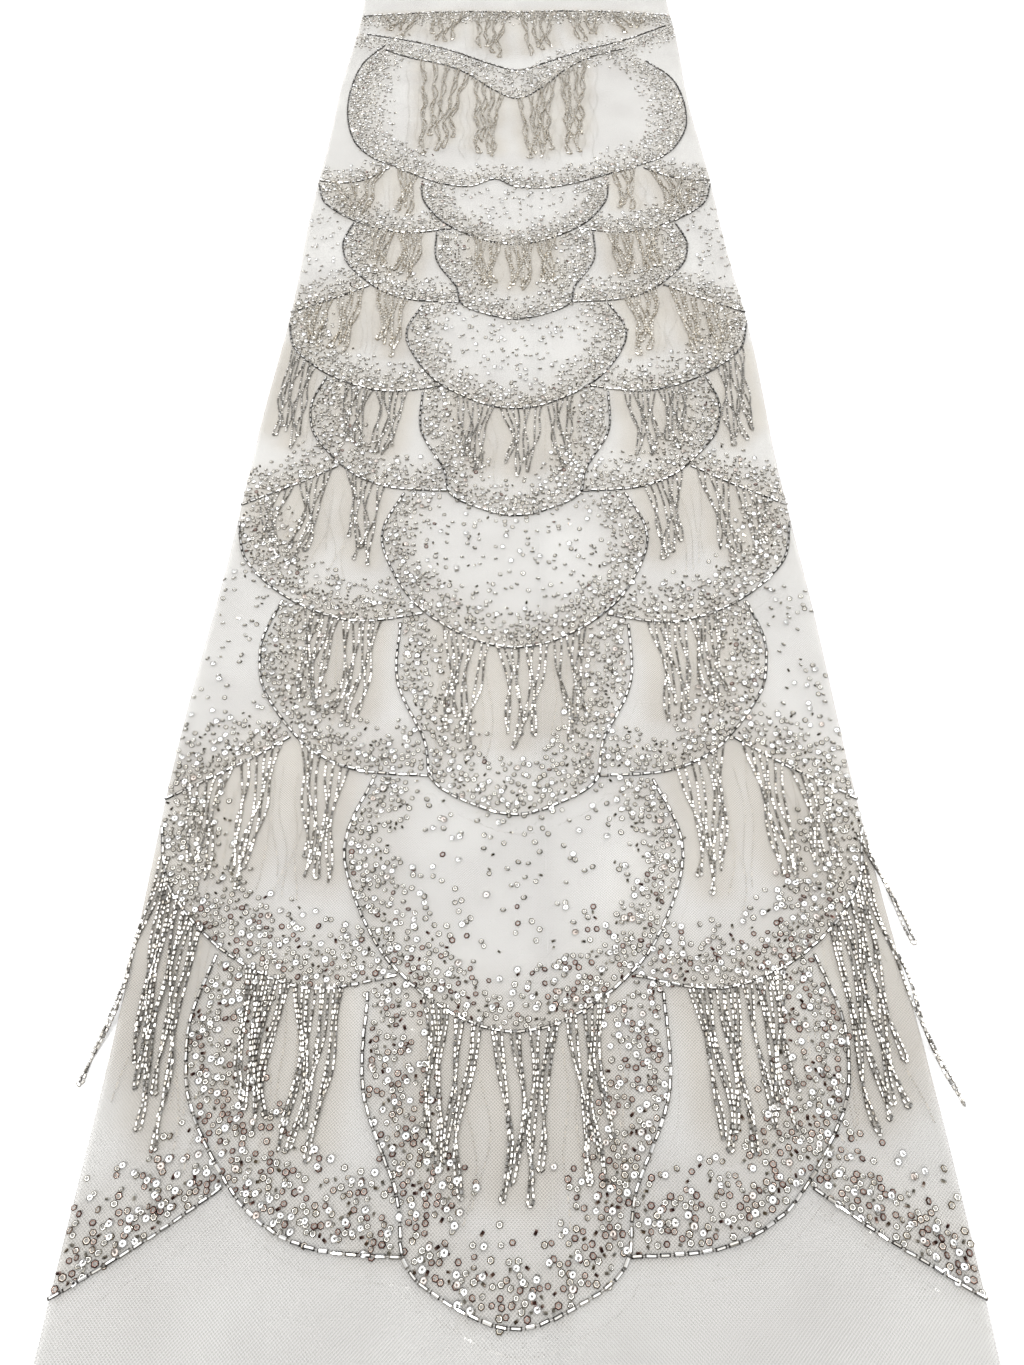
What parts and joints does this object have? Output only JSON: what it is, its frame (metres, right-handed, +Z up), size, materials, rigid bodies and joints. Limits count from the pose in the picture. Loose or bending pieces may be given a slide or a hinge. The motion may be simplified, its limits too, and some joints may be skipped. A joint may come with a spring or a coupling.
{
  "type": "length of beaded lace fabric",
  "caption": "Length of beaded net lace folded lengthwise and lying flat, with bead-edged scallops and hanging bead fringes.",
  "frame": {"origin": "on the surface below the folded cloth, midway between its folds and between its cut ends", "axes": "+X across the cloth, +Y along it towards the far cut end, +Z up from the surface"},
  "size_m": [0.6701, 2.41, 0.01],
  "materials": {
    "net": "soft cream net, matt and see-through",
    "tube_beads": "silver-lined glass, glossy",
    "strand_beads": "silver and champagne lined glass, glossy",
    "ring_beads": "silver and bronze lined glass, glossy",
    "sequins": "mirror-bright silver, some clear",
    "thread": "fine pale thread"
  },
  "bodies": {
    "root": {"net_ground": "net", "shield_0": "tube_beads", "shield_1": "tube_beads", "shield_2": "tube_beads", "shield_3": "tube_beads", "tongue_0": "tube_beads", "tongue_1": "tube_beads", "tongue_2": "tube_beads", "tongue_3": "tube_beads", "upper_wing_left_0": "tube_beads", "upper_wing_left_1": "tube_beads", "upper_wing_left_2": "tube_beads", "upper_wing_left_3": "tube_beads", "upper_wing_right_0": "tube_beads", "upper_wing_right_1": "tube_beads", "upper_wing_right_2": "tube_beads", "upper_wing_right_3": "tube_beads", "lower_wing_left_0": "tube_beads", "lower_wing_left_1": "tube_beads", "lower_wing_left_2": "tube_beads", "lower_wing_left_3": "tube_beads", "lower_wing_right_0": "tube_beads", "lower_wing_right_1": "tube_beads", "lower_wing_right_2": "tube_beads", "lower_wing_right_3": "tube_beads", "edge_sweep_left_0": "tube_beads", "edge_sweep_left_1": "tube_beads", "edge_sweep_left_2": "tube_beads", "edge_sweep_left_3": "tube_beads", "edge_sweep_right_0": "tube_beads", "edge_sweep_right_1": "tube_beads", "edge_sweep_right_2": "tube_beads", "edge_sweep_right_3": "tube_beads", "lobe_left": "tube_beads", "lobe_right": "tube_beads", "waist": "tube_beads", "sweep_left": "tube_beads", "sweep_right": "tube_beads", "vee_low": "tube_beads", "vee_high": "tube_beads", "far_line": "tube_beads"}
  },
  "joints": []
}
